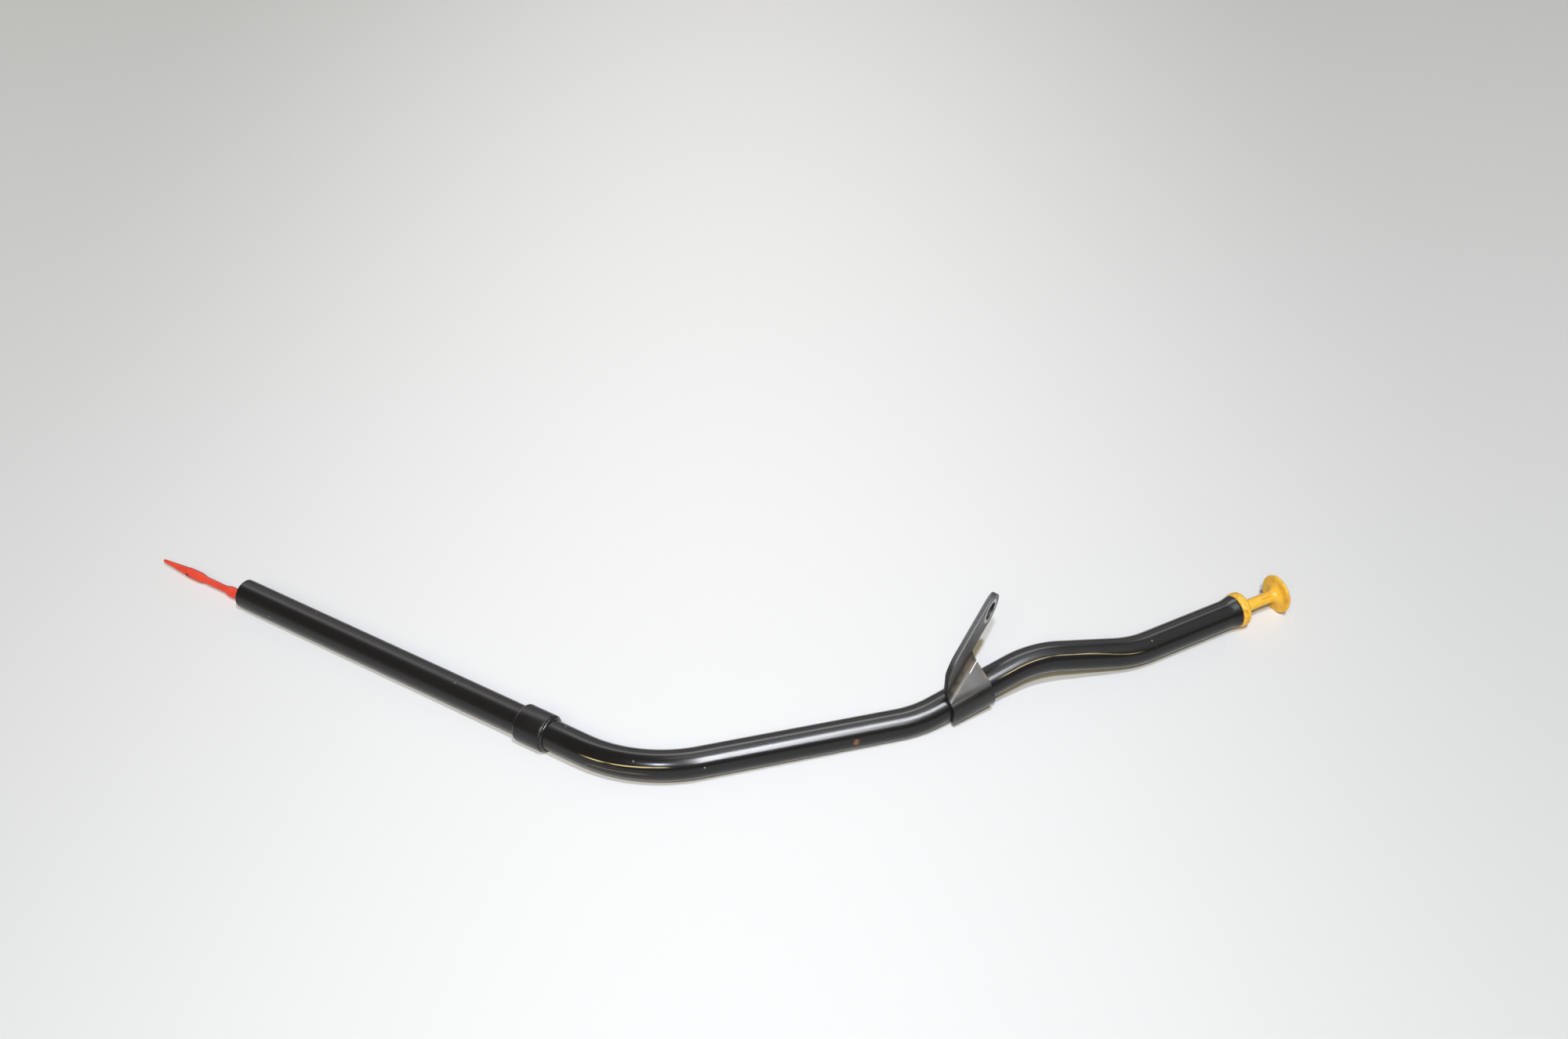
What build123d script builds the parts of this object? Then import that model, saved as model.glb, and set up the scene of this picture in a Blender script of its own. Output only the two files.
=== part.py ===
from build123d import *
from math import asin, atan2, cos, degrees, radians, sin, tan
import os

# Engine oil dipstick lying in its bent guide tube.
# The tube carries a seat collar and a welded bracket. The dipstick inside it is a pull handle with a
# seal ring, a flexible cable and a measuring tip that stands out of the tube's lower end.
# Lengths are in millimetres and angles in degrees. The part lies as it comes to rest on a floor:
# +X runs along its length, +Z is up, and the origin is on the floor under the middle of its box.

# Guide tube: one drawn steel tube, bent on one former
tube_diameter = 14.0
tube_wall = 1.0
bend_radius = 60.0
rim_round = 0.35
mouth_flare = 0.9
mouth_flare_length = 5.0

# Runs of the tube, from bend corner to bend corner
lower_run = 234.8
middle_run = 129.8
saddle_run = 64.1
crest_run = 49.7
mouth_run = 60.0

# Heading of each run in plan, from +X towards +Y
lower_heading = -34.0
middle_heading = 17.1
saddle_heading = 30.7
crest_heading = 15.1
mouth_heading = 30.8

# Rise of the two runs past the bracket above the floor; the other runs are set by what they rest on
saddle_rise = 9.3
crest_rise = -8.7

# Seat collar: a sleeve brazed round the lower run
collar_wall = 1.75
collar_length = 14.6
collar_start = 172.2
collar_edge = 0.5
braze_gap = 0.05
braze_recess = 0.9

# Mounting bracket: one folded blank, a saddle round the tube, a leaning plate and a tab with a bolt hole
sheet_thickness = 2.5
saddle_start = 14.4
saddle_length = 21.6
saddle_low_angle = -52.0
plate_lean = 59.2
plate_height = 13.1
fold_slant = 29.3
fold_angle = 76.6
fold_radius = 4.0
tab_width = 16.9
tab_reach = 17.2
tab_heel_round = 11.0
bolt_hole_diameter = 8.5

# Pull handle: one moulding with a plug, a stop flange, a stem and a mushroom head
plug_clearance = 0.3
plug_length = 17.0
plug_lead = 1.2
flange_overhang = 0.5
flange_thickness = 4.8
flange_round = 1.6
stem_diameter = 5.7
stem_root_round = 1.0
head_diameter = 19.0
head_reach = 26.4
head_rim = 1.6
head_flare = 3.9
head_dome = 2.0

# Seal ring in a groove of the plug
seal_section = 1.8
seal_clearance = 0.05
seal_slack = 0.05
seal_depth = 7.0

# Flexible cable, moulded into the handle and the tip
cable_diameter = 3.0
cable_socket_depth = 9.0
cable_socket_clearance = 0.05

# Measuring tip: one moulding, lying on the bottom of the bore
tip_reach = 56.0
tip_root = 14.0
tip_nose_radius = 0.8
tip_taper_radius = 2.1
tip_taper_end = 16.4
tip_blade_radius = 2.45
tip_blade_start = 18.0
tip_blade_end = 25.6
tip_neck_radius = 1.7
tip_neck_start = 28.7
tip_neck_end = 42.2
tip_shoulder_radius = 2.6
tip_shoulder_start = 45.8
tip_corner_round = 2.0
tip_root_lead = 0.8
tip_clearance = 0.2
level_hole_diameter = 1.2
level_hole_distance = 18.0


def run_direction(heading, rise):
    """Unit vector of a straight run with this heading in plan and this rise above the floor."""
    flat = cos(radians(rise))
    return Vector(flat * cos(radians(heading)), flat * sin(radians(heading)), sin(radians(rise)))


def axial_plane(origin, direction):
    """Plane for a turned profile: local X is the radius and local Y runs along the direction."""
    side = direction.cross(Vector(0, 0, 1)).normalized()
    return Plane(origin=origin, x_dir=side, z_dir=side.cross(direction))


# Radii that follow from the driving sizes
tube_radius = tube_diameter / 2
bore_radius = tube_radius - tube_wall
collar_radius = tube_radius + collar_wall
mouth_radius = tube_radius + mouth_flare
head_radius = head_diameter / 2
stem_radius = stem_diameter / 2
plug_radius = bore_radius - plug_clearance
cable_radius = cable_diameter / 2
socket_radius = cable_radius + cable_socket_clearance

# Route of the tube: the lower end, the collar, the second bend and the handle's head rest on the floor
lower_rise = degrees(atan2(collar_wall, collar_start))
lower_direction = run_direction(lower_heading, lower_rise)
saddle_direction = run_direction(saddle_heading, saddle_rise)
crest_direction = run_direction(crest_heading, crest_rise)

lower_end = Vector(0, 0, tube_radius * cos(radians(lower_rise)))
first_bend = lower_end + lower_direction * lower_run
second_turn = run_direction(middle_heading, 0).get_angle(saddle_direction)
second_setback = bend_radius * tan(radians(second_turn / 2))
middle_rise = degrees(asin((tube_radius - first_bend.Z) / (middle_run - second_setback)))
middle_direction = run_direction(middle_heading, middle_rise)
second_bend = first_bend + middle_direction * middle_run
third_bend = second_bend + saddle_direction * saddle_run
fourth_bend = third_bend + crest_direction * crest_run

mouth_rise = degrees(asin((head_radius - fourth_bend.Z) / (mouth_run + head_reach)))
mouth_direction = run_direction(mouth_heading, mouth_rise)
flare_start = fourth_bend + mouth_direction * (mouth_run - mouth_flare_length)
mouth = fourth_bend + mouth_direction * mouth_run

# Guide tube, swept along its bends, with a slightly belled mouth and a rounded lower rim
with BuildPart() as guide_tube:
    with BuildLine():
        FilletPolyline(
            lower_end,
            first_bend,
            second_bend,
            third_bend,
            fourth_bend,
            flare_start,
            radius=bend_radius,
        )
    with BuildSketch(Plane(origin=lower_end, z_dir=lower_direction)):
        Circle(tube_radius)
        Circle(bore_radius, mode=Mode.SUBTRACT)
    sweep()
    with BuildSketch(axial_plane(flare_start, mouth_direction)):
        with BuildLine():
            Polyline(
                (bore_radius, 0),
                (tube_radius, 0),
                (mouth_radius, mouth_flare_length),
                (bore_radius + mouth_flare, mouth_flare_length),
                close=True,
            )
        make_face()
    revolve(axis=Axis(flare_start, mouth_direction))
    lower_rim = guide_tube.faces().filter_by(GeomType.PLANE).sort_by_distance(lower_end)[0]
    fillet(lower_rim.edges(), radius=rim_round)

# Seat collar, with a chamfered recess for the braze at its bend end
collar_foot = lower_end + lower_direction * collar_start
collar_bore = tube_radius + braze_gap
with BuildPart() as stop_collar:
    with BuildSketch(axial_plane(collar_foot, lower_direction)):
        with BuildLine():
            Polyline(
                (collar_bore, 0),
                (collar_radius - collar_edge, 0),
                (collar_radius, collar_edge),
                (collar_radius, collar_length - collar_edge),
                (collar_radius - collar_edge, collar_length),
                (collar_bore + braze_recess, collar_length),
                (collar_bore, collar_length - braze_recess),
                close=True,
            )
        make_face()
    revolve(axis=Axis(collar_foot, lower_direction))

# Directions of the bracket: round the tube, up the leaning plate, along the fold and across the tab
front = Vector(saddle_direction.Y, -saddle_direction.X, 0).normalized()
above = front.cross(saddle_direction)
plate_normal = front * cos(radians(plate_lean)) + above * sin(radians(plate_lean))
plate_up = above * cos(radians(plate_lean)) - front * sin(radians(plate_lean))
fold_along = saddle_direction * cos(radians(fold_slant)) + plate_up * sin(radians(fold_slant))
fold_across = plate_up * cos(radians(fold_slant)) - saddle_direction * sin(radians(fold_slant))
tab_up = fold_across * cos(radians(fold_angle)) + plate_normal * sin(radians(fold_angle))
tab_normal = plate_normal * cos(radians(fold_angle)) - fold_across * sin(radians(fold_angle))

# Reference points of the bracket, on its outer face
saddle_inside = tube_radius + braze_gap
saddle_outside = saddle_inside + sheet_thickness
fold_setback = fold_radius * tan(radians(fold_angle / 2))
saddle_heel = second_bend + saddle_direction * saddle_start
saddle_toe = saddle_heel + saddle_direction * saddle_length
plate_foot = saddle_toe + plate_normal * saddle_outside
fold_corner = plate_foot + plate_up * plate_height
fold_length = saddle_length / cos(radians(fold_slant))
tab_line = fold_corner + tab_up * fold_setback
tab_overrun = (tab_line - plate_foot).dot(saddle_direction) / cos(radians(fold_slant))
tab_corner = tab_line - fold_along * tab_overrun
bolt_hole = tab_corner + fold_along * tab_reach + tab_up * (tab_width / 2)
tab_plane = Plane(origin=tab_corner, x_dir=fold_along, z_dir=tab_normal)
heel_bottom = -fold_length
heel_top = heel_bottom + tab_width * cos(radians(fold_angle)) * tan(radians(fold_slant))

# Mounting bracket: the rounded fold and the tab first, trimmed to the blank's two ends
with BuildPart() as mounting_bracket:
    fold_centre = fold_corner - fold_across * fold_setback + plate_normal * fold_radius
    with BuildSketch(Plane(origin=fold_centre, x_dir=fold_across, z_dir=fold_along)):
        with BuildLine():
            CenterArc((0, 0), fold_radius, start_angle=-90, arc_size=fold_angle)
            offset(amount=sheet_thickness, side=Side.RIGHT)
        make_face()
    extrude(amount=2 * fold_length, both=True)
    split(bisect_by=Plane(origin=saddle_toe, z_dir=saddle_direction), keep=Keep.BOTTOM)
    # The tab's outline has a round tip about the bolt hole, and runs down to the heel in a large round
    with BuildSketch(tab_plane) as tab_outline:
        with BuildLine():
            Polyline(
                (tab_reach, 0),
                (tab_reach, tab_width),
                (heel_top, tab_width),
                (heel_bottom, 0),
                close=True,
            )
        make_face()
        heel_corner = tab_outline.vertices().group_by(Axis.Y)[-1].sort_by(Axis.X)[0]
        fillet(heel_corner, radius=tab_heel_round)
        with Locations((tab_reach, tab_width / 2)):
            Circle(tab_width / 2)
    extrude(amount=-sheet_thickness)
    split(bisect_by=Plane(origin=saddle_heel, z_dir=saddle_direction), keep=Keep.TOP)
    # Leaning plate, from the tube's tangent line up to the fold
    plate_edge = plate_height - fold_setback / cos(radians(fold_slant))
    plate_span = plate_edge / tan(radians(fold_slant))
    with BuildSketch(Plane(origin=plate_foot, x_dir=saddle_direction, z_dir=plate_normal)):
        with BuildLine():
            Polyline((0, 0), (0, plate_edge), (-plate_span, 0), close=True)
        make_face()
    extrude(amount=-sheet_thickness)
    # Saddle round the tube's front
    with BuildSketch(Plane(origin=saddle_toe, x_dir=front, z_dir=saddle_direction * -1)):
        with BuildLine():
            CenterArc((0, 0), saddle_inside, saddle_low_angle, plate_lean - saddle_low_angle)
            offset(amount=sheet_thickness, side=Side.RIGHT)
        make_face()
    extrude(amount=saddle_length)
    with Locations(Plane(origin=bolt_hole, z_dir=tab_normal)):
        Hole(bolt_hole_diameter / 2)

# Pull handle: the turned profile from the plug, past the flange and stem, to the domed head
seal_ring_radius = bore_radius - seal_clearance - seal_section / 2
groove_radius = seal_ring_radius - seal_section / 2 - seal_slack
groove_half = seal_section / 2 + seal_slack
flange_radius = mouth_radius + flange_overhang
head_under = head_reach - head_rim / 2
head_top = head_reach + head_rim / 2
rim_centre = head_radius - head_rim / 2
with BuildPart() as handle:
    with BuildSketch(axial_plane(mouth, mouth_direction)):
        with BuildLine():
            Polyline(
                (0, head_top + head_dome),
                (0, cable_socket_depth - plug_length),
                (socket_radius, cable_socket_depth - plug_length),
                (socket_radius, -plug_length),
                (plug_radius - plug_lead, -plug_length),
                (plug_radius, plug_lead - plug_length),
                (plug_radius, -seal_depth - groove_half),
                (groove_radius, -seal_depth - groove_half),
                (groove_radius, groove_half - seal_depth),
                (plug_radius, groove_half - seal_depth),
                (plug_radius, 0),
                (flange_radius - flange_round, 0),
            )
            RadiusArc((flange_radius - flange_round, 0), (flange_radius, flange_round), -flange_round)
            Line((flange_radius, flange_round), (flange_radius, flange_thickness - flange_round))
            RadiusArc(
                (flange_radius, flange_thickness - flange_round),
                (flange_radius - flange_round, flange_thickness),
                -flange_round,
            )
            Line(
                (flange_radius - flange_round, flange_thickness),
                (stem_radius + stem_root_round, flange_thickness),
            )
            RadiusArc(
                (stem_radius + stem_root_round, flange_thickness),
                (stem_radius, flange_thickness + stem_root_round),
                stem_root_round,
            )
            Line((stem_radius, flange_thickness + stem_root_round), (stem_radius, head_under - head_flare))
            RadiusArc(
                (stem_radius, head_under - head_flare),
                (stem_radius + head_flare, head_under),
                head_flare,
            )
            Line((stem_radius + head_flare, head_under), (rim_centre, head_under))
            ThreePointArc((rim_centre, head_under), (head_radius, head_reach), (rim_centre, head_top))
            dome_radius = (rim_centre**2 + head_dome**2) / (2 * head_dome)
            RadiusArc((rim_centre, head_top), (0, head_top + head_dome), -dome_radius)
        make_face()
    revolve(axis=Axis(mouth, mouth_direction))

# Seal ring in the plug's groove
with BuildPart() as seal_ring:
    with BuildSketch(axial_plane(mouth - mouth_direction * seal_depth, mouth_direction)):
        with Locations((seal_ring_radius, 0)):
            Circle(seal_section / 2)
    revolve(axis=Axis(mouth, mouth_direction))

# Measuring tip: a tapered spear with a stepped blade and a neck, its shoulder on the bottom of the bore
tip_drop = bore_radius - tip_shoulder_radius - tip_clearance
tip_down = lower_direction.cross(Vector(0, 0, 1)).normalized().cross(lower_direction) * -tip_drop
tip_point = lower_end + tip_down - lower_direction * tip_reach
tip_length = tip_reach + tip_root
with BuildPart() as measuring_tip:
    with BuildSketch(axial_plane(tip_point, lower_direction)):
        with BuildLine():
            RadiusArc((0, 0), (tip_nose_radius, tip_nose_radius), -tip_nose_radius)
            FilletPolyline(
                (tip_nose_radius, tip_nose_radius),
                (tip_taper_radius, tip_taper_end),
                (tip_blade_radius, tip_blade_start),
                (tip_blade_radius, tip_blade_end),
                (tip_neck_radius, tip_neck_start),
                (tip_neck_radius, tip_neck_end),
                (tip_shoulder_radius, tip_shoulder_start),
                (tip_shoulder_radius, tip_length - tip_root_lead),
                radius=tip_corner_round,
            )
            Polyline(
                (tip_shoulder_radius, tip_length - tip_root_lead),
                (tip_shoulder_radius - tip_root_lead, tip_length),
                (socket_radius, tip_length),
                (socket_radius, tip_length - cable_socket_depth),
                (0, tip_length - cable_socket_depth),
                (0, 0),
            )
        make_face()
    revolve(axis=Axis(tip_point, lower_direction))
    level_side = Vector(lower_direction.Y, -lower_direction.X, 0).normalized()
    level_hole = tip_point + lower_direction * level_hole_distance + level_side * tip_blade_radius
    with Locations(Plane(origin=level_hole, z_dir=level_side)):
        Hole(level_hole_diameter / 2)

# Flexible cable, from its socket in the tip, low in the bore, to its socket in the handle
cable_tip_end = tip_point + lower_direction * (tip_length - cable_socket_depth)
cable_handle_end = mouth - mouth_direction * (plug_length - cable_socket_depth)
with BuildPart() as dipstick_cable:
    with BuildLine():
        FilletPolyline(
            cable_tip_end,
            first_bend + tip_down,
            second_bend,
            third_bend,
            fourth_bend,
            cable_handle_end,
            radius=bend_radius,
        )
    with BuildSketch(Plane(origin=cable_tip_end, z_dir=lower_direction)):
        Circle(cable_radius)
    sweep()

# Move the assembly so that the origin is on the floor under the middle of its box, and write the pieces
pieces = {
    "guide_tube": guide_tube,
    "stop_collar": stop_collar,
    "mounting_bracket": mounting_bracket,
    "handle": handle,
    "seal_ring": seal_ring,
    "dipstick_cable": dipstick_cable,
    "measuring_tip": measuring_tip,
}
box = Compound([piece.part for piece in pieces.values()]).bounding_box()
to_origin = Location((-box.center().X, -box.center().Y, -box.min.Z))
os.makedirs("parts", exist_ok=True)
for name, piece in pieces.items():
    piece.part.move(to_origin)
    piece.part.label = name
    export_step(piece.part, f"parts/{name}.step")
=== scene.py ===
import math

import bmesh
import bpy
from mathutils import Matrix, Vector, noise


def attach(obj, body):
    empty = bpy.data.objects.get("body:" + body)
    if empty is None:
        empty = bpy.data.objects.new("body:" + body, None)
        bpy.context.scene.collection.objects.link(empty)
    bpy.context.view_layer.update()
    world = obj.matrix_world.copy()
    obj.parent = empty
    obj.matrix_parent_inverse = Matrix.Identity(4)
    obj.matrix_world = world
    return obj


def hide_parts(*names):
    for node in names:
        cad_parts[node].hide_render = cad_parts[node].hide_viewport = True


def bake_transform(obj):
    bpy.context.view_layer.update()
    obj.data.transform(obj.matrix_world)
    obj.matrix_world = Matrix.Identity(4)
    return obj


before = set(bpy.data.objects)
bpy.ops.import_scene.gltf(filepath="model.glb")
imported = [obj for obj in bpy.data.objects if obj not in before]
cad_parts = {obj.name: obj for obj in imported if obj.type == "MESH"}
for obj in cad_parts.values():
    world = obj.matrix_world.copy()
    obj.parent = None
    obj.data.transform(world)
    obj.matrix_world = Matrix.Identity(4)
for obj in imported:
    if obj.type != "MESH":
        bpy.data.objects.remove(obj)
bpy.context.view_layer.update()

# Bench, light and camera
# A pale matt board carries the dipstick in a dim warm room. Its colour is painted paler in a pool behind the
# dipstick and greyer to its sides and front, a painted falloff of the light. A flash above the camera and a
# ceiling lamp throw the shadows, and the wall behind the camera fills them. The windows light nothing, and
# only show as panels in the gloss.
scene = bpy.context.scene
scene.view_settings.view_transform = "Standard"

warm_wall = (1.0, 0.85, 0.50)
room = bpy.data.worlds.new("dim_room")
scene.world = room
room.use_nodes = True
room_light = room.node_tree.nodes["Background"]
room_light.inputs["Color"].default_value = (*warm_wall, 1.0)
room_light.inputs["Strength"].default_value = 0.13

bench_half = 12.0
# The pale centre and the grey rim are a painted pool of light and its painted falloff in the board's colour.
board_pale = (0.92, 0.922, 0.92, 1.0)
board_painted_shade = (0.66, 0.668, 0.663, 1.0)
painted_pool_squeeze = (2.3, 0.55, 0.0)
painted_pool_shift = (0.0, -0.25, 0.0)
bench_mesh = bpy.data.meshes.new("bench")
bench_form = bmesh.new()
bmesh.ops.create_grid(bench_form, x_segments=8, y_segments=8, size=bench_half)
bench_form.to_mesh(bench_mesh)
bench_form.free()
bench = bpy.data.objects.new("bench", bench_mesh)
scene.collection.objects.link(bench)
pale_board_painted_falloff = bpy.data.materials.new("pale_board_painted_falloff")
pale_board_painted_falloff.use_nodes = True
board_shader = pale_board_painted_falloff.node_tree.nodes["Principled BSDF"]
board_place = pale_board_painted_falloff.node_tree.nodes.new("ShaderNodeTexCoord")
board_painted_pool = pale_board_painted_falloff.node_tree.nodes.new("ShaderNodeVectorMath")
board_painted_pool.operation = "MULTIPLY_ADD"
board_painted_pool.inputs[1].default_value = painted_pool_squeeze
board_painted_pool.inputs[2].default_value = painted_pool_shift
board_reach = pale_board_painted_falloff.node_tree.nodes.new("ShaderNodeVectorMath")
board_reach.operation = "LENGTH"
board_painted_falloff = pale_board_painted_falloff.node_tree.nodes.new("ShaderNodeMapRange")
board_painted_falloff.interpolation_type = "SMOOTHSTEP"
board_painted_light = pale_board_painted_falloff.node_tree.nodes.new("ShaderNodeMix")
board_painted_light.data_type = "RGBA"
board_painted_light.inputs[6].default_value = board_pale
board_painted_light.inputs[7].default_value = board_painted_shade
board_link = pale_board_painted_falloff.node_tree.links.new
board_link(board_place.outputs["Object"], board_painted_pool.inputs[0])
board_link(board_painted_pool.outputs["Vector"], board_reach.inputs[0])
board_link(board_reach.outputs["Value"], board_painted_falloff.inputs["Value"])
board_link(board_painted_falloff.outputs["Result"], board_painted_light.inputs["Factor"])
board_link(board_painted_light.outputs[2], board_shader.inputs["Base Color"])
board_shader.inputs["Roughness"].default_value = 0.8
board_shader.inputs["Specular IOR Level"].default_value = 0.1
bench_mesh.materials.append(pale_board_painted_falloff)

bench_middle = Vector((0.02, -0.02, 0.01))


def softbox(name, azimuth, elevation, distance, width, length, power, tint, along=(1.0, 0.0, 0.0)):
    """A lamp that faces the bench from this bearing, its length laid along a direction. Azimuth 0 is the
    camera's side. Angles are in degrees, sizes in metres and the power in watts."""
    lamp = bpy.data.lights.new(name, "AREA")
    lamp.shape = "RECTANGLE"
    lamp.size = length
    lamp.size_y = width
    lamp.energy = power
    lamp.color = tint
    stand = bpy.data.objects.new(name, lamp)
    scene.collection.objects.link(stand)
    turn = math.radians(azimuth)
    height = math.radians(elevation)
    level = math.cos(height)
    bearing = Vector((math.sin(turn) * level, -math.cos(turn) * level, math.sin(height)))
    across = bearing.cross(Vector(along)).normalized()
    lengthwise = across.cross(bearing)
    stand.location = bench_middle + bearing * distance
    stand.rotation_euler = Matrix((lengthwise, across, bearing)).transposed().to_euler()
    return stand


flash_white = (0.96, 1.04, 1.23)
softbox("flash", -3.5, 48.0, 6.0, 0.20, 0.20, 157.0, flash_white)
softbox("ceiling_lamp", 10.0, 60.0, 2.6, 0.11, 0.11, 30.8, flash_white).visible_glossy = False
softbox("front_wall", -10.0, 42.0, 6.0, 2.10, 2.10, 138.0, warm_wall).visible_glossy = False

daylight = (0.97, 1.0, 1.05)
strip_lean = (0.22, -0.76, -0.61)
panels = (
    softbox("back_window", -170.0, 54.0, 1.8, 0.50, 2.20, 12.5, daylight),
    softbox("back_pane", 166.0, 60.0, 1.8, 0.50, 0.60, 3.0, daylight),
    softbox("back_wall", -175.0, 28.0, 1.8, 0.70, 2.60, 4.6, daylight),
    softbox("skylight", 107.0, 76.0, 1.6, 0.60, 0.80, 4.0, daylight),
    softbox("right_wall", 85.0, 45.0, 1.8, 1.60, 1.60, 4.5, daylight),
    softbox("tall_window", 35.5, 50.0, 1.6, 0.20, 0.95, 30.0, daylight, along=strip_lean),
    softbox("far_window", 56.0, 59.0, 1.66, 0.13, 0.62, 11.0, daylight, along=strip_lean),
)
for panel in panels:
    panel.visible_diffuse = False

camera_tilt = math.radians(54.0)
camera_body = bpy.data.cameras.new("camera")
camera_body.sensor_fit = "HORIZONTAL"
camera_body.sensor_width = 36.0
camera_body.lens = 54.0
camera = bpy.data.objects.new("camera", camera_body)
camera.location = (0.03218, -0.84367, 0.70041)
camera.rotation_euler = (camera_tilt, 0.0, 0.0)
scene.collection.objects.link(camera)
scene.camera = camera

# Guide tube
# One drawn steel tube, bent four times on one former, with a slightly belled mouth and a rounded lower rim.
# It is blacked all over, with faint purple and straw tints. Above the collar the black is smoother, and
# brassy lines run along the outside of its bends.
lower_end = Vector((-0.226722, 0.050430, 0.007012))
first_bend = Vector((-0.032075, -0.080862, 0.009398))
second_bend = Vector((0.091963, -0.042703, 0.006841))
third_bend = Vector((0.146355, -0.010407, 0.017200))
fourth_bend = Vector((0.193787, 0.002391, 0.009683))
mouth = Vector((0.245325, 0.033114, 0.009564))
tube_radius = 0.0070
tube_wall = 0.0010
bend_radius = 0.060


def route_skin_tree():
    """Geometry Nodes: a round or stranded skin along runs and rounded bends, belled at the far end."""
    tree = bpy.data.node_groups.new("route_skin", "GeometryNodeTree")
    face = tree.interface
    face.new_socket("Route", in_out="INPUT", socket_type="NodeSocketGeometry")
    for label in ("Bend radius", "Skin radius", "Ring step", "Bell", "Bell length", "Strand depth",
                  "Strand turns", "Draw start", "Draw end", "Draw"):
        face.new_socket(label, in_out="INPUT", socket_type="NodeSocketFloat")
    for label in ("Sides", "Strands"):
        face.new_socket(label, in_out="INPUT", socket_type="NodeSocketInt")
    face.new_socket("Caps", in_out="INPUT", socket_type="NodeSocketBool")
    face.new_socket("Finish", in_out="INPUT", socket_type="NodeSocketMaterial")
    face.new_socket("Skin", in_out="OUTPUT", socket_type="NodeSocketGeometry")
    nodes = tree.nodes
    link = tree.links.new
    given = nodes.new("NodeGroupInput").outputs
    result = nodes.new("NodeGroupOutput")

    def sum_of(operation, *values):
        """One Math node with these values or sockets."""
        node = nodes.new("ShaderNodeMath")
        node.operation = operation
        for value, socket in zip(values, node.inputs):
            if isinstance(value, bpy.types.NodeSocket):
                link(value, socket)
            else:
                socket.default_value = value
        return node.outputs["Value"]

    # The line of the route, with its bends rounded and its rings evenly spaced
    bends = nodes.new("GeometryNodeFilletCurve")
    bends.mode = "POLY"
    bends.inputs["Count"].default_value = 400
    link(given["Route"], bends.inputs["Curve"])
    link(given["Bend radius"], bends.inputs["Radius"])
    rings = nodes.new("GeometryNodeResampleCurve")
    rings.mode = "LENGTH"
    link(bends.outputs["Curve"], rings.inputs["Curve"])
    link(given["Ring step"], rings.inputs["Length"])
    place = nodes.new("GeometryNodeSplineParameter")
    along = nodes.new("GeometryNodeStoreNamedAttribute")
    along.data_type = "FLOAT"
    along.inputs["Name"].default_value = "along"
    link(rings.outputs["Curve"], along.inputs["Geometry"])
    link(place.outputs["Length"], along.inputs["Value"])

    whole = nodes.new("GeometryNodeCurveLength")
    link(rings.outputs["Curve"], whole.inputs["Curve"])

    # The strands turn evenly once the stretch before the far end is drawn out
    drawn = nodes.new("ShaderNodeMapRange")
    drawn.interpolation_type = "SMOOTHSTEP"
    link(place.outputs["Length"], drawn.inputs["Value"])
    link(sum_of("SUBTRACT", whole.outputs["Length"], given["Draw start"]), drawn.inputs["From Min"])
    link(sum_of("SUBTRACT", whole.outputs["Length"], given["Draw end"]), drawn.inputs["From Max"])
    link(given["Draw"], drawn.inputs["To Max"])
    laid = sum_of("ADD", place.outputs["Length"], drawn.outputs["Result"])
    tilt = nodes.new("GeometryNodeSetCurveTilt")
    link(along.outputs["Geometry"], tilt.inputs["Curve"])
    link(sum_of("MULTIPLY", laid, sum_of("MULTIPLY", given["Strand turns"], math.tau)), tilt.inputs["Tilt"])

    # The bell at the far end
    bell_share = nodes.new("ShaderNodeMapRange")
    link(place.outputs["Length"], bell_share.inputs["Value"])
    link(sum_of("SUBTRACT", whole.outputs["Length"], given["Bell length"]), bell_share.inputs["From Min"])
    link(whole.outputs["Length"], bell_share.inputs["From Max"])
    bell_rise = sum_of("DIVIDE", given["Bell"], given["Skin radius"])
    swell = sum_of("MULTIPLY_ADD", bell_share.outputs["Result"], bell_rise, 1.0)

    # The section, round or with a lobe for each strand
    hoop = nodes.new("GeometryNodeCurvePrimitiveCircle")
    link(given["Sides"], hoop.inputs["Resolution"])
    link(given["Skin radius"], hoop.inputs["Radius"])
    turn = nodes.new("GeometryNodeSplineParameter")
    lobe_angle = sum_of("MULTIPLY", sum_of("MULTIPLY", turn.outputs["Factor"], math.tau), given["Strands"])
    lobe = sum_of("MULTIPLY_ADD", sum_of("COSINE", lobe_angle), -0.5, 0.5)
    lobe_scale = sum_of("SUBTRACT", 1.0, sum_of("MULTIPLY", lobe, given["Strand depth"]))
    spot = nodes.new("GeometryNodeInputPosition")
    pulled_in = nodes.new("ShaderNodeVectorMath")
    pulled_in.operation = "SCALE"
    link(spot.outputs["Position"], pulled_in.inputs[0])
    link(lobe_scale, pulled_in.inputs["Scale"])
    section = nodes.new("GeometryNodeSetPosition")
    link(hoop.outputs["Curve"], section.inputs["Geometry"])
    link(pulled_in.outputs["Vector"], section.inputs["Position"])
    groove = nodes.new("GeometryNodeStoreNamedAttribute")
    groove.data_type = "FLOAT"
    groove.inputs["Name"].default_value = "groove"
    link(section.outputs["Geometry"], groove.inputs["Geometry"])
    link(lobe, groove.inputs["Value"])

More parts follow.
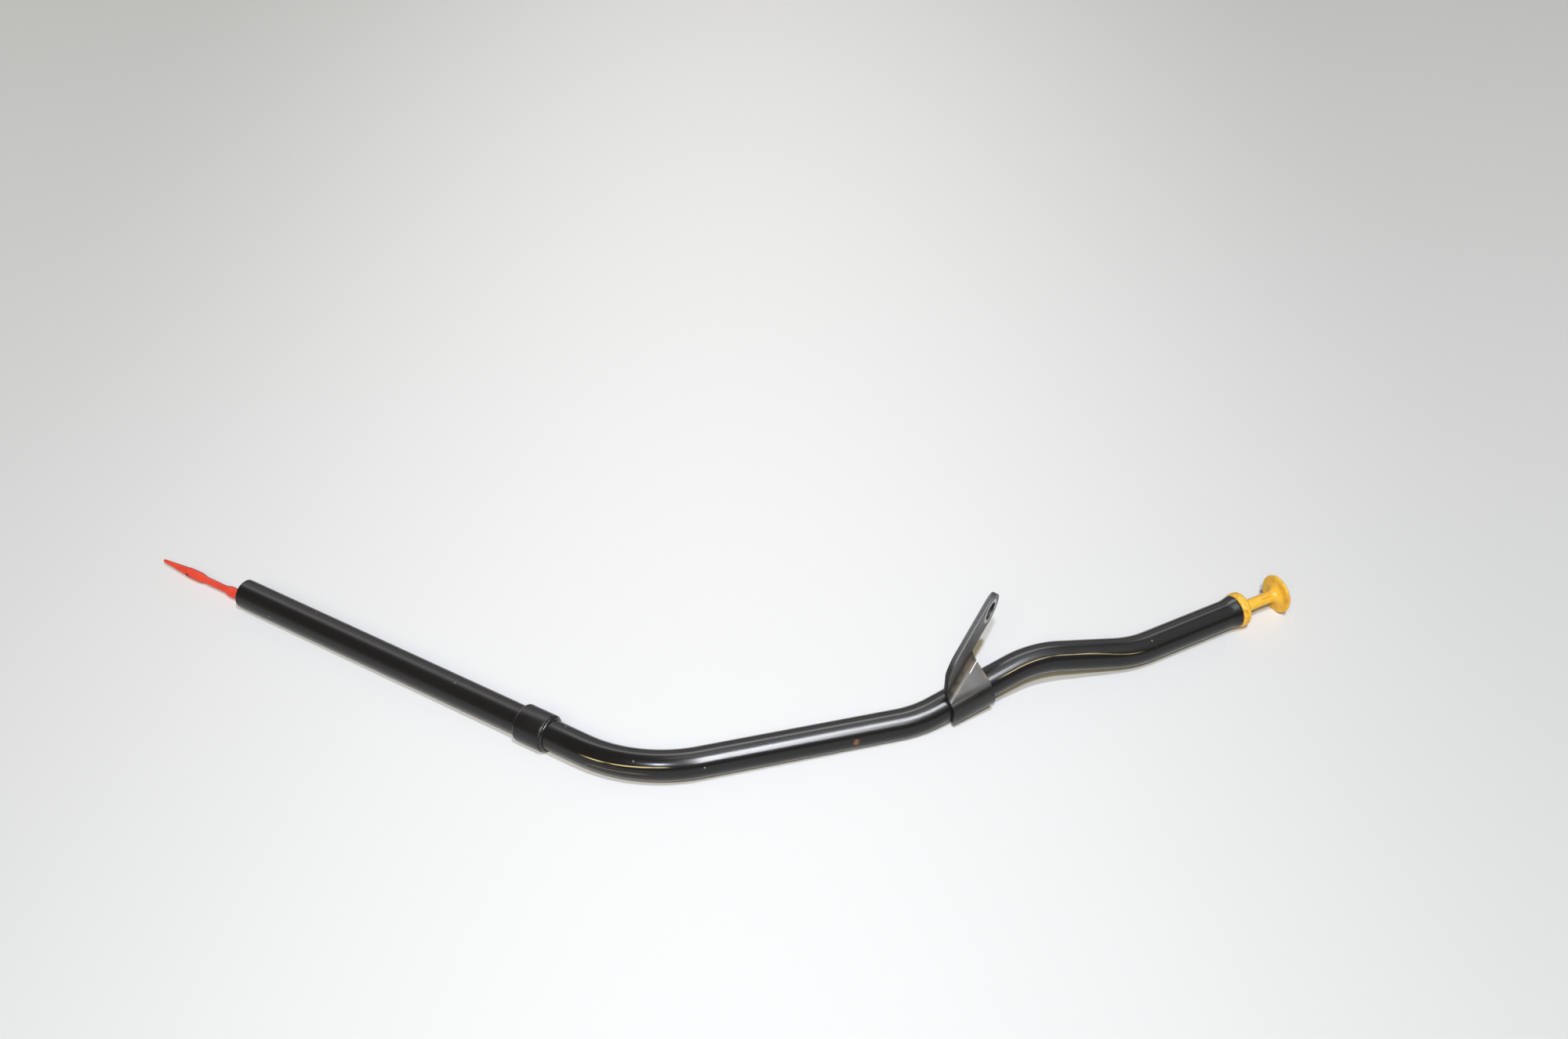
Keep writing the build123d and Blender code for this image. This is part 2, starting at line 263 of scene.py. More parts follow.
    # The skin, with the way each point faces kept for the finish
    skin = nodes.new("GeometryNodeCurveToMesh")
    link(tilt.outputs["Curve"], skin.inputs["Curve"])
    link(groove.outputs["Geometry"], skin.inputs["Profile Curve"])
    link(swell, skin.inputs["Scale"])
    link(given["Caps"], skin.inputs["Fill Caps"])
    normal = nodes.new("GeometryNodeInputNormal")
    facing = nodes.new("GeometryNodeStoreNamedAttribute")
    facing.data_type = "FLOAT_VECTOR"
    facing.inputs["Name"].default_value = "facing"
    link(skin.outputs["Mesh"], facing.inputs["Geometry"])
    link(normal.outputs["Normal"], facing.inputs["Value"])
    smooth = nodes.new("GeometryNodeSetShadeSmooth")
    link(facing.outputs["Geometry"], smooth.inputs["Geometry"])
    real = nodes.new("GeometryNodeRealizeInstances")
    link(smooth.outputs["Geometry"], real.inputs["Geometry"])
    coat = nodes.new("GeometryNodeSetMaterial")
    link(real.outputs["Geometry"], coat.inputs["Geometry"])
    link(given["Finish"], coat.inputs["Material"])
    link(coat.outputs["Geometry"], result.inputs["Skin"])
    return tree


route_skin = route_skin_tree()


def skin_along(name, corners, finish, **sizes):
    """An object whose plain mesh is the skin along these corners, with the tree's named sizes."""
    line = bpy.data.curves.new(name + "_route", "CURVE")
    line.dimensions = "3D"
    runs = line.splines.new("POLY")
    runs.points.add(len(corners) - 1)
    for point, corner in zip(runs.points, corners):
        point.co = (*corner, 1.0)
    guide = bpy.data.objects.new(name + "_route", line)
    scene.collection.objects.link(guide)
    skin = guide.modifiers.new("skin", "NODES")
    skin.node_group = route_skin
    sockets = route_skin.interface.items_tree
    named = {socket.name: socket.identifier for socket in sockets if socket.in_out == "INPUT"}
    for label, value in sizes.items():
        skin[named[label.replace("_", " ")]] = value
    skin[named["Finish"]] = finish
    shown = guide.evaluated_get(bpy.context.evaluated_depsgraph_get())
    mesh = bpy.data.meshes.new_from_object(shown)
    mesh.name = name
    bpy.data.objects.remove(guide)
    bpy.data.curves.remove(line)
    return placed(name, mesh)


def placed(name, mesh):
    """An object at the origin for a mesh that is already in its place."""
    made = bpy.data.objects.new(name, mesh)
    scene.collection.objects.link(made)
    return made


def settled(made):
    """The object, with its modifiers worked into a plain mesh."""
    shown = made.evaluated_get(bpy.context.evaluated_depsgraph_get())
    mesh = bpy.data.meshes.new_from_object(shown)
    made.modifiers.clear()
    made.data = mesh
    return made


def wear_group():
    """Shader group: soft smears, small chips and a fine grain over whatever place it is given."""
    group = bpy.data.node_groups.new("handling_wear", "ShaderNodeTree")
    face = group.interface
    face.new_socket("Place", in_out="INPUT", socket_type="NodeSocketVector")
    for label in ("Smear scale", "Chip scale", "Chip share", "Grain scale"):
        face.new_socket(label, in_out="INPUT", socket_type="NodeSocketFloat")
    for label in ("Smears", "Chips", "Grain"):
        face.new_socket(label, in_out="OUTPUT", socket_type="NodeSocketFloat")
    nodes = group.nodes
    link = group.links.new
    given = nodes.new("NodeGroupInput").outputs
    result = nodes.new("NodeGroupOutput").inputs
    smear = nodes.new("ShaderNodeTexNoise")
    smear.inputs["Detail"].default_value = 5.0
    smear.inputs["Roughness"].default_value = 0.6
    link(given["Place"], smear.inputs["Vector"])
    link(given["Smear scale"], smear.inputs["Scale"])
    spread = nodes.new("ShaderNodeMapRange")
    spread.inputs["From Min"].default_value = 0.3
    spread.inputs["From Max"].default_value = 0.7
    link(smear.outputs["Fac"], spread.inputs["Value"])
    link(spread.outputs["Result"], result["Smears"])
    chip = nodes.new("ShaderNodeTexVoronoi")
    link(given["Place"], chip.inputs["Vector"])
    link(given["Chip scale"], chip.inputs["Scale"])
    near = nodes.new("ShaderNodeMapRange")
    near.inputs["From Min"].default_value = 0.22
    near.inputs["From Max"].default_value = 0.14
    link(chip.outputs["Distance"], near.inputs["Value"])
    pick = nodes.new("ShaderNodeSeparateColor")
    link(chip.outputs["Color"], pick.inputs["Color"])
    rare = nodes.new("ShaderNodeMath")
    rare.operation = "LESS_THAN"
    link(pick.outputs["Red"], rare.inputs[0])
    link(given["Chip share"], rare.inputs[1])
    chips = nodes.new("ShaderNodeMath")
    chips.operation = "MULTIPLY"
    link(near.outputs["Result"], chips.inputs[0])
    link(rare.outputs["Value"], chips.inputs[1])
    link(chips.outputs["Value"], result["Chips"])
    grain = nodes.new("ShaderNodeTexNoise")
    grain.inputs["Detail"].default_value = 2.0
    link(given["Place"], grain.inputs["Vector"])
    link(given["Grain scale"], grain.inputs["Scale"])
    link(grain.outputs["Fac"], result["Grain"])
    return group


handling_wear = wear_group()


class Finish:
    """A material in the making: short calls that add nodes and join them to its Principled shader."""

    def __init__(self, name):
        self.material = bpy.data.materials.new(name)
        self.material.use_nodes = True
        self.nodes = self.material.node_tree.nodes
        self.link = self.material.node_tree.links.new
        self.shader = self.nodes["Principled BSDF"]

    def put(self, value, socket):
        """Links a socket, or sets a plain value."""
        if isinstance(value, bpy.types.NodeSocket):
            self.link(value, socket)
        else:
            socket.default_value = value

    def set(self, **sockets):
        """Sets sockets of the shader by name."""
        for label, value in sockets.items():
            self.put(value, self.shader.inputs[label.replace("_", " ")])

    def sum(self, operation, *values):
        """One Math node."""
        node = self.nodes.new("ShaderNodeMath")
        node.operation = operation
        for value, socket in zip(values, node.inputs):
            self.put(value, socket)
        return node.outputs["Value"]

    def both(self, *masks):
        """The product of several masks."""
        share = masks[0]
        for mask in masks[1:]:
            share = self.sum("MULTIPLY", share, mask)
        return share

    def step(self, value, low, high, to_low=0.0, to_high=1.0):
        """A soft step of the value between two limits."""
        node = self.nodes.new("ShaderNodeMapRange")
        node.interpolation_type = "SMOOTHSTEP"
        node.inputs["To Min"].default_value = to_low
        node.inputs["To Max"].default_value = to_high
        node.inputs["From Min"].default_value = low
        node.inputs["From Max"].default_value = high
        self.put(value, node.inputs["Value"])
        return node.outputs["Result"]

    def band(self, value, middle, half, soft):
        """1 within half of the middle, and 0 past a soft edge."""
        off = self.sum("ABSOLUTE", self.sum("SUBTRACT", value, middle))
        return self.step(off, half + soft, half)

    def noise(self, vector, scale, detail=3.0, roughness=0.5):
        """One Noise texture."""
        node = self.nodes.new("ShaderNodeTexNoise")
        node.inputs["Scale"].default_value = scale
        node.inputs["Detail"].default_value = detail
        node.inputs["Roughness"].default_value = roughness
        self.link(vector, node.inputs["Vector"])
        return node.outputs["Fac"]

    def mix(self, share, first, second):
        """The first colour, with a share of the second over it."""
        node = self.nodes.new("ShaderNodeMix")
        node.data_type = "RGBA"
        self.put(share, node.inputs["Factor"])
        for colour, socket in ((first, node.inputs[6]), (second, node.inputs[7])):
            self.put(colour if isinstance(colour, bpy.types.NodeSocket) else (*colour, 1.0), socket)
        return node.outputs[2]

    def place(self):
        """Object coordinates."""
        return self.nodes.new("ShaderNodeTexCoord").outputs["Object"]

    def attribute(self, name, output):
        """An attribute of the piece's own mesh."""
        node = self.nodes.new("ShaderNodeAttribute")
        node.attribute_name = name
        return node.outputs[output]

    def split(self, vector):
        """The three parts of a vector."""
        node = self.nodes.new("ShaderNodeSeparateXYZ")
        self.link(vector, node.inputs[0])
        return node.outputs

    def join(self, x, y, z):
        """A vector from three parts."""
        node = self.nodes.new("ShaderNodeCombineXYZ")
        for value, socket in zip((x, y, z), node.inputs):
            self.put(value, socket)
        return node.outputs[0]

    def reach(self, vector, origin, direction):
        """How far a place lies past the origin, along the direction."""
        node = self.nodes.new("ShaderNodeVectorMath")
        node.operation = "DOT_PRODUCT"
        node.inputs[1].default_value = direction
        self.link(vector, node.inputs[0])
        return self.sum("SUBTRACT", node.outputs["Value"], Vector(origin).dot(Vector(direction)))

    def away(self, vector, point):
        """How far a place lies from a point."""
        node = self.nodes.new("ShaderNodeVectorMath")
        node.operation = "DISTANCE"
        node.inputs[1].default_value = point
        self.link(vector, node.inputs[0])
        return node.outputs["Value"]

    def wear(self, vector, **sizes):
        """The shared wear group, with its own sizes here."""
        node = self.nodes.new("ShaderNodeGroup")
        node.node_tree = handling_wear
        self.link(vector, node.inputs["Place"])
        for label, value in sizes.items():
            node.inputs[label.replace("_", " ")].default_value = value
        return node.outputs

    def bump(self, height, distance, strength):
        """A Bump node on the shader's normal."""
        node = self.nodes.new("ShaderNodeBump")
        node.inputs["Strength"].default_value = strength
        node.inputs["Distance"].default_value = distance
        self.link(height, node.inputs["Height"])
        self.link(node.outputs["Normal"], self.shader.inputs["Normal"])


violet_black = (0.0072, 0.0068, 0.0078)
straw_black = (0.0082, 0.0077, 0.0068)
streaked_black = (0.0120, 0.0116, 0.0116)
chip_steel = (0.36, 0.35, 0.33)
brassy_gold = (0.56, 0.44, 0.20)
fleck_rust = (0.22, 0.090, 0.040)
fleck = Vector((0.0643, -0.0584, 0.0079))

enamel = Finish("tube_enamel")
spot = enamel.place()
along = enamel.attribute("along", "Fac")
facing = enamel.split(enamel.attribute("facing", "Vector"))
lengthways = enamel.join(enamel.sum("MULTIPLY", along, 6.0), facing["Y"], facing["Z"])
streaks = enamel.noise(lengthways, 9.0, detail=6.0, roughness=0.65)
wear = enamel.wear(spot, Smear_scale=70.0, Chip_scale=420.0, Chip_share=0.025, Grain_scale=2600.0)
front = enamel.step(facing["Y"], -0.1, -0.3)
ragged = enamel.step(streaks, 0.36, 0.54)


def brassy_line(first, last, low, high, half, soft):
    """A brassy line on the tube's front, between two distances along it and from one height to another."""
    length = enamel.band(along, (first + last) / 2, (last - first) / 2 - 0.004, 0.008)
    off = enamel.sum("SUBTRACT", facing["Z"], enamel.step(along, first, last, low, high))
    return enamel.both(length, enamel.band(off, 0.0, half, soft), front)


# Brassy lines on the first bend and along the crest
bend_line = enamel.both(brassy_line(0.211, 0.246, low=0.45, high=0.57, half=0.016, soft=0.030), ragged)
crest_line = enamel.both(brassy_line(0.404, 0.452, low=0.645, high=0.655, half=0.010, soft=0.024), ragged, 0.75)
crest_end = enamel.both(brassy_line(0.446, 0.474, low=0.655, high=0.500, half=0.012, soft=0.026), ragged, 0.45)
low_line = enamel.both(brassy_line(0.212, 0.236, low=0.06, high=0.10, half=0.02, soft=0.05), ragged, 0.16)
first_bend_lines = enamel.sum("MAXIMUM", bend_line, low_line)
crest_lines = enamel.sum("MAXIMUM", crest_line, crest_end)
brass = enamel.sum("MAXIMUM", first_bend_lines, crest_lines)

# The black, its chips, and one fleck of rust on the middle run
flaking = enamel.step(enamel.noise(spot, 900.0, detail=4.0), 0.36, 0.50)
rust = enamel.both(enamel.step(enamel.away(spot, fleck), 0.0020, 0.0009), flaking)
tints = enamel.step(enamel.noise(lengthways, 2.2, detail=2.0), 0.38, 0.62)
deep = enamel.mix(tints, violet_black, straw_black)
black = enamel.mix(enamel.both(streaks, 0.4), deep, streaked_black)
chipped = enamel.mix(enamel.both(wear["Chips"], 0.5), black, chip_steel)
brassy = enamel.mix(brass, chipped, brassy_gold)
gloss = enamel.step(along, 0.186, 0.205, 0.30, 0.21)
dulled = enamel.sum("MULTIPLY_ADD", wear["Smears"], 0.035, gloss)
enamel.set(Base_Color=enamel.mix(enamel.both(rust, 0.8), brassy, fleck_rust))
enamel.set(IOR=1.42)
enamel.set(Roughness=enamel.sum("MULTIPLY_ADD", brass, 0.15, dulled))
lines = enamel.sum("MULTIPLY_ADD", streaks, 0.7, enamel.both(wear["Grain"], 0.2))
enamel.bump(lines, distance=0.00002, strength=0.06)

tube = skin_along(
    "tube_skin",
    (lower_end, first_bend, second_bend, third_bend, fourth_bend, mouth),
    enamel.material,
    Bend_radius=bend_radius,
    Skin_radius=tube_radius,
    Ring_step=0.0012,
    Bell=0.0009,
    Bell_length=0.005,
    Sides=72,
)
wall = tube.modifiers.new("wall", "SOLIDIFY")
wall.thickness = tube_wall
wall.offset = -1.0
rim = tube.modifiers.new("rim", "BEVEL")
rim.width = 0.00035
rim.segments = 3
rim.limit_method = "ANGLE"
rim.angle_limit = math.radians(60.0)
settled(tube)
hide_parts("guide_tube")
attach(tube, "tube")

# Stop collar
# A short steel sleeve pushed over the lower run and brazed to the tube, then stoved black with it.
# Its lower edge is left sharp; the braze has run out of the recess at its other end in a lumpy bead.
lower_direction = (first_bend - lower_end).normalized()
collar_start = 0.1722
collar_length = 0.0146
collar_radius = 0.00875
collar_bore = 0.00705
collar_edge = 0.0005
collar_sharp = 0.0002
collar_recess = 0.0009
collar_foot = lower_end + lower_direction * collar_start
lower_front = Vector((lower_direction.y, -lower_direction.x, 0.0)).normalized()


def arc(centre, radius, start, end, steps):
    """Points of an arc in a turned profile, from one angle to another, as (distance out, distance along)."""
    points = []
    for count in range(steps + 1):
        angle = math.radians(start + (end - start) * count / steps)
        points.append((centre[0] + radius * math.cos(angle), centre[1] + radius * math.sin(angle)))
    return points


def turned(name, profile, foot, direction, sides, ring=False, lump=None):
    """An object turned about a line: the profile gives (distance out, distance along) from the foot.
    A ring's profile closes on itself. A lump gives each point's change of distance out by its place."""
    lathe = bmesh.new()
    side = direction.cross(Vector((0.0, 0.0, 1.0))).normalized()
    over = side.cross(direction)
    hoops = []
    for out, reach in profile:
        hoop = []
        for count in range(sides if out > 1e-7 else 1):
            angle = math.tau * count / sides
            away = side * math.cos(angle) + over * math.sin(angle)
            spot = foot + direction * reach + away * out
            if lump:
                spot += away * lump(spot)
            hoop.append(lathe.verts.new(spot))
        hoops.append(hoop)
    pairs = list(zip(hoops, hoops[1:]))
    if ring:
        pairs.append((hoops[-1], hoops[0]))
    for low, high in pairs:
        for count in range(sides):
            after = (count + 1) % sides
            near = (low[count % len(low)], low[after % len(low)])
            far = (high[after % len(high)], high[count % len(high)])
            lathe.faces.new(list(dict.fromkeys(near + far)))
    bmesh.ops.recalc_face_normals(lathe, faces=lathe.faces)
    mesh = bpy.data.meshes.new(name)
    lathe.to_mesh(mesh)
    lathe.free()
    mesh.shade_smooth()
    mesh.set_sharp_from_angle(angle=math.radians(40.0))
    return placed(name, mesh)


sleeve_black = (0.0065, 0.0062, 0.0066)
sleeve_smear = (0.0110, 0.0105, 0.0100)
sleeve_edge_highlight = (0.26, 0.26, 0.25)

sleeve = Finish("collar_enamel")
spot = sleeve.place()
reach = sleeve.reach(spot, collar_foot, lower_direction)
wear = sleeve.wear(spot, Smear_scale=90.0, Grain_scale=2400.0)
satin = sleeve.mix(wear["Smears"], sleeve_black, sleeve_smear)
# Both edges are painted paler, partly worn paint and partly a painted highlight where the edges catch the
# light.
lower_edge_highlight = sleeve.both(sleeve.band(reach, 0.0001, 0.0002, 0.0002), sleeve.step(wear["Smears"], 0.1, 0.6))
lip = sleeve.band(reach, collar_length - 0.0003, 0.0002, 0.0003)
upper_edge_highlight = sleeve.both(lip, sleeve.step(wear["Smears"], 0.5, 0.8))
edges = sleeve.sum("MAXIMUM", lower_edge_highlight, upper_edge_highlight)
sleeve.set(Base_Color=sleeve.mix(sleeve.both(edges, 0.5), satin, sleeve_edge_highlight))
sleeve.set(IOR=1.42)
sleeve.set(Roughness=sleeve.sum("MULTIPLY_ADD", wear["Smears"], 0.08, 0.32))
sleeve.bump(wear["Grain"], distance=0.00005, strength=0.3)

collar_profile = [
    (collar_bore, 0.0),
    (collar_radius - collar_sharp, 0.0),
    (collar_radius, collar_sharp),
    *arc((collar_radius - collar_edge, collar_length - collar_edge), collar_edge, 0.0, 90.0, 5),
    (collar_bore + collar_recess, collar_length),
    (collar_bore, collar_length - collar_recess),
]
collar = turned("collar_sleeve", collar_profile, collar_foot, lower_direction, 96, ring=True)
collar.data.materials.append(sleeve.material)
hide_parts("stop_collar")
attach(collar, "tube")

bead_radius = 0.0011
bead_root = 0.0066
drip_past = 0.0006
drip_out = 0.0045
drip_below = 0.0062
drip_size = 0.0032
drip_rise = 0.0007
ripple_rise = 0.00022
braze_black = (0.006, 0.006, 0.006)
braze_smear = (0.016, 0.014, 0.012)
burnt_flux = (0.11, 0.055, 0.026)

braze = Finish("braze_metal")
spot = braze.place()
wear = braze.wear(spot, Smear_scale=420.0, Grain_scale=2200.0)
drip = collar_foot + lower_direction * (collar_length + drip_past) + lower_front * drip_out
drip.z -= drip_below
burnt = braze.both(braze.step(braze.away(spot, drip), 0.0042, 0.0012), wear["Smears"])
dark = braze.mix(wear["Smears"], braze_black, braze_smear)
braze.set(Base_Color=braze.mix(burnt, dark, burnt_flux))
braze.set(Roughness=braze.sum("MULTIPLY_ADD", wear["Grain"], 0.16, 0.08))
braze.bump(wear["Grain"], distance=0.00012, strength=0.5)


def braze_lump(spot):
    """The bead's unevenness, with one large drip low on the camera's side."""
    ripple = noise.fractal(spot * 900.0, 1.0, 2.0, 3) * ripple_rise
    run = max(0.0, 1.0 - (spot - drip).length / drip_size) * drip_rise
    return ripple + run


bead_profile = arc((collar_bore, collar_length), bead_radius, -90.0, 130.0, 10)
bead_profile.append((bead_root, collar_length))
bead = turned("braze_bead", bead_profile, collar_foot, lower_direction, 120, ring=True, lump=braze_lump)
bead.data.materials.append(braze.material)
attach(bead, "tube")

# Mounting bracket
# One blank of 2.5 mm steel, rolled round the tube as a saddle, leaning off as a plate and folded up as a tab
# with a bolt hole. The saddle is stoved with the tube. The rest is bare and rusty by the fold, with painted
# shade in its low corner and fold and painted highlights on the crease and round the bolt hole.
plate_foot = Vector((0.123868, -0.029446, 0.020754))
plate_up = Vector((-0.509687, 0.696332, 0.505312))
fold_corner = Vector((0.117191, -0.020324, 0.027374))
fold_along = Vector((0.490563, 0.780149, 0.388221))
fold_across = Vector((-0.859748, 0.360683, 0.361581))
tab_up = Vector((-0.061050, -0.413647, 0.908388))
tab_normal = Vector((0.869265, -0.469322, -0.155292))
plate_side = plate_up.cross(fold_along).normalized().cross(plate_up)
bolt_hole = Vector((0.125121, -0.011387, 0.044756))
sheet = 0.0025

plate_dark = (0.052, 0.051, 0.049)
plate_pale = (0.072, 0.070, 0.067)
corner_shade = (0.030, 0.027, 0.023)
tab_shaded_foot = (0.100, 0.092, 0.088)
tab_head = (0.120, 0.117, 0.115)
tab_blotch = (0.10, 0.095, 0.09)
fold_shade = (0.038, 0.033, 0.030)
tan_rust = (0.125, 0.092, 0.060)
red_rust = (0.150, 0.082, 0.042)
painted_highlight_steel = (0.72, 0.71, 0.69)
shear_light = (0.150, 0.150, 0.154)
shear_dark = (0.010, 0.010, 0.011)
shear_shade = (0.020, 0.019, 0.018)
bore_shade = (0.022, 0.021, 0.020)
stoved_black = (0.0060, 0.0057, 0.0052)
stoved_blotch = (0.0120, 0.0113, 0.0100)

steel = Finish("bracket_steel")
spot = steel.place()
rise = steel.reach(spot, plate_foot, plate_up)
beside = steel.reach(spot, plate_foot, plate_side)
fold = steel.reach(spot, fold_corner, fold_across)
run = steel.reach(spot, fold_corner, fold_along)
height = steel.reach(spot, fold_corner, tab_up)
depth = steel.reach(spot, bolt_hole, tab_normal)
to_middle = steel.away(spot, bolt_hole)
squared_out = steel.sum("SUBTRACT", steel.both(to_middle, to_middle), steel.both(depth, depth))
to_hole = steel.sum("SQRT", steel.sum("MAXIMUM", squared_out, 0.0))
wear = steel.wear(spot, Smear_scale=120.0, Grain_scale=2200.0)
blotch = steel.noise(spot, 260.0, detail=5.0, roughness=0.6)

# Plate and tab, with painted shade in the plate's low corner, towards the tab's foot and along the fold
plate = steel.mix(wear["Smears"], plate_dark, plate_pale)
# The plate's low corner is painted darker: painted shade where the plate turns down into the saddle.
low_corner = steel.step(run, -0.010, -0.018)
shaded = steel.mix(steel.both(low_corner, 0.75), plate, corner_shade)
tab_share = steel.step(height, 0.001, 0.006)
# The tab is painted darker towards its foot and along the fold: painted shade in the crease.
tab_tone = steel.mix(steel.step(height, 0.004, 0.016), tab_shaded_foot, tab_head)
faced = steel.mix(tab_share, shaded, steel.mix(steel.both(blotch, 0.5), tab_tone, tab_blotch))
fold_dark = steel.both(steel.band(fold, 0.0016, 0.0012, 0.0014), steel.step(height, 0.010, 0.002))
fold_shaded = steel.mix(steel.both(fold_dark, 0.75), faced, fold_shade)

# Rust on the plate's side of the fold and down the plate's right edge
patches = steel.step(blotch, 0.34, 0.56)
rust_run = steel.sum(
    "MULTIPLY_ADD",
    steel.band(run, -0.0060, 0.0014, 0.0026),
    0.4,
    steel.both(steel.band(run, -0.0100, 0.0100, 0.0030), 0.6),
)
fold_rust = steel.both(steel.band(fold, -0.0016, 0.0012, 0.0014), patches, rust_run)
edge_run = steel.band(rise, 0.0040, 0.0034, 0.0014)
edge_rust = steel.both(steel.band(beside, -0.0003, 0.0005, 0.0006), edge_run, patches)
rust_share = steel.sum("MAXIMUM", fold_rust, edge_rust)
tanned = steel.mix(steel.both(fold_rust, 0.8), fold_shaded, tan_rust)
rusty = steel.mix(steel.both(edge_rust, 0.8), tanned, red_rust)

# A painted highlight along the crease, and a pale ring round the bolt hole that is partly bare steel and
# partly a painted highlight
crease = steel.both(steel.band(fold, -0.0034, 0.00010, 0.00012), steel.band(run, -0.0045, 0.0030, 0.0025))
ring_share = steel.both(steel.band(to_hole, 0.0053, 0.0005, 0.0006), tab_share)
painted_highlights = steel.sum("MAXIMUM", crease, steel.both(ring_share, 0.8))
lit = steel.mix(painted_highlights, rusty, painted_highlight_steel)

# The tab's cut edges, with lines from the blanking tool and painted shade towards the fold, and the bore of
# the hole, painted dark as painted shade
stripes = steel.noise(steel.join(steel.sum("MULTIPLY", depth, 2600.0), height, run), 1.0, detail=3.0)
blanked = steel.both(steel.band(depth, -sheet / 2, sheet / 2 - 0.00025, 0.0002), tab_share)
edge_lines = steel.mix(steel.step(stripes, 0.44, 0.54), shear_light, shear_dark)
# The cut edges are painted darker towards the fold as painted shade.
edge_tone = steel.mix(steel.step(run, 0.002, -0.015, 0.0, 0.7), edge_lines, shear_shade)
edged = steel.mix(blanked, lit, edge_tone)
# The bore of the hole is painted dark: painted shade inside the hole.
striped = steel.mix(steel.step(to_hole, 0.0046, 0.0043), edged, bore_shade)

# The stoved saddle, and the shader
saddle_share = steel.step(rise, -0.0026, -0.0042)
stoved = steel.mix(blotch, stoved_black, stoved_blotch)
steel.set(Base_Color=steel.mix(saddle_share, striped, stoved))
unpainted = steel.sum("SUBTRACT", 1.0, saddle_share)
steel.set(Metallic=steel.both(unpainted, steel.step(rust_share, 0.0, 0.6, 0.45, 0.1)))
satin = steel.step(saddle_share, 0.0, 1.0, 0.38, 0.27)
steel.set(Roughness=steel.sum("MULTIPLY_ADD", wear["Smears"], 0.10, satin))
tool_lines = steel.sum("MULTIPLY_ADD", stripes, blanked, steel.both(wear["Grain"], 0.35))
steel.bump(tool_lines, distance=0.00010, strength=0.5)

bracket_form = bmesh.new()
bracket_form.from_mesh(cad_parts["mounting_bracket"].data)
bmesh.ops.remove_doubles(bracket_form, verts=bracket_form.verts, dist=1e-6)
bmesh.ops.dissolve_limit(
    bracket_form,
    angle_limit=math.radians(1.0),
    verts=bracket_form.verts,
    edges=bracket_form.edges,
)
bracket_mesh = bpy.data.meshes.new("bracket_blank")
bracket_form.to_mesh(bracket_mesh)
bracket_form.free()
bracket = placed("bracket_blank", bracket_mesh)
worn = bracket.modifiers.new("worn_edges", "BEVEL")
worn.width = 0.00035
worn.segments = 3
worn.limit_method = "ANGLE"
worn.angle_limit = math.radians(40.0)
settled(bracket)
bracket.data.shade_smooth()
bracket.data.set_sharp_from_angle(angle=math.radians(35.0))
bracket.data.materials.clear()
bracket.data.materials.append(steel.material)
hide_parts("mounting_bracket")
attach(bracket, "tube")

# Measuring tip
# A red nylon moulding: a slim spear with a level hole through it, a neck, and a shoulder that guides it up
# the tube. Its root is moulded over the cable. It lies on the bottom of the bore.
tip_point = Vector((-0.273119, 0.081725, 0.003243))
tip_length = 0.070
socket_depth = 0.009
socket_radius = 0.00155
point_radius = 0.0008
blade_radius = 0.00245
neck_radius = 0.0017
shoulder_radius = 0.0026
shoulder_chamfer = 0.0008
spear_round = 0.002
level_hole_radius = 0.0006
level_hole_reach = 0.018
drill_half = 0.004
deep_red = (0.62, 0.046, 0.022)
pale_red = (0.70, 0.066, 0.035)
nick_red = (0.45, 0.020, 0.012)
hole_ring_red = (0.040, 0.007, 0.006)

nylon = Finish("red_plastic")
spot = nylon.place()
wear = nylon.wear(spot, Smear_scale=160.0, Chip_scale=600.0, Chip_share=0.03, Grain_scale=2600.0)
hole_mouth = tip_point + lower_direction * level_hole_reach + lower_front * blade_radius
red = nylon.mix(wear["Smears"], deep_red, pale_red)
nicked = nylon.mix(nylon.both(wear["Chips"], 0.25), red, nick_red)
# The blade is painted darker round the mouth of the level hole.
hole_ring = nylon.step(nylon.away(spot, hole_mouth), 0.0011, 0.0008)
nylon.set(Base_Color=nylon.mix(nylon.both(hole_ring, 0.9), nicked, hole_ring_red))
nylon.set(Specular_IOR_Level=0.3)
nylon.set(Roughness=nylon.sum("MULTIPLY_ADD", wear["Smears"], 0.10, 0.40))
nylon.bump(wear["Grain"], distance=0.00005, strength=0.3)


def eased(corners, bend, steps):
    """A turned profile with its inner corners rounded to one radius."""
    profile = [corners[0]]
    for before, corner, after in zip(corners, corners[1:], corners[2:]):
        back = Vector(before) - Vector(corner)
        ahead = Vector(after) - Vector(corner)
        turn = math.pi - back.angle(ahead)
        setback = bend * math.tan(turn / 2)
        start = Vector(corner) + back.normalized() * setback
        end = Vector(corner) + ahead.normalized() * setback
        for count in range(steps + 1):
            share = count / steps
            near = start.lerp(Vector(corner), share)
            far = Vector(corner).lerp(end, share)
            profile.append(tuple(near.lerp(far, share)))
    profile.append(corners[-1])
    return profile


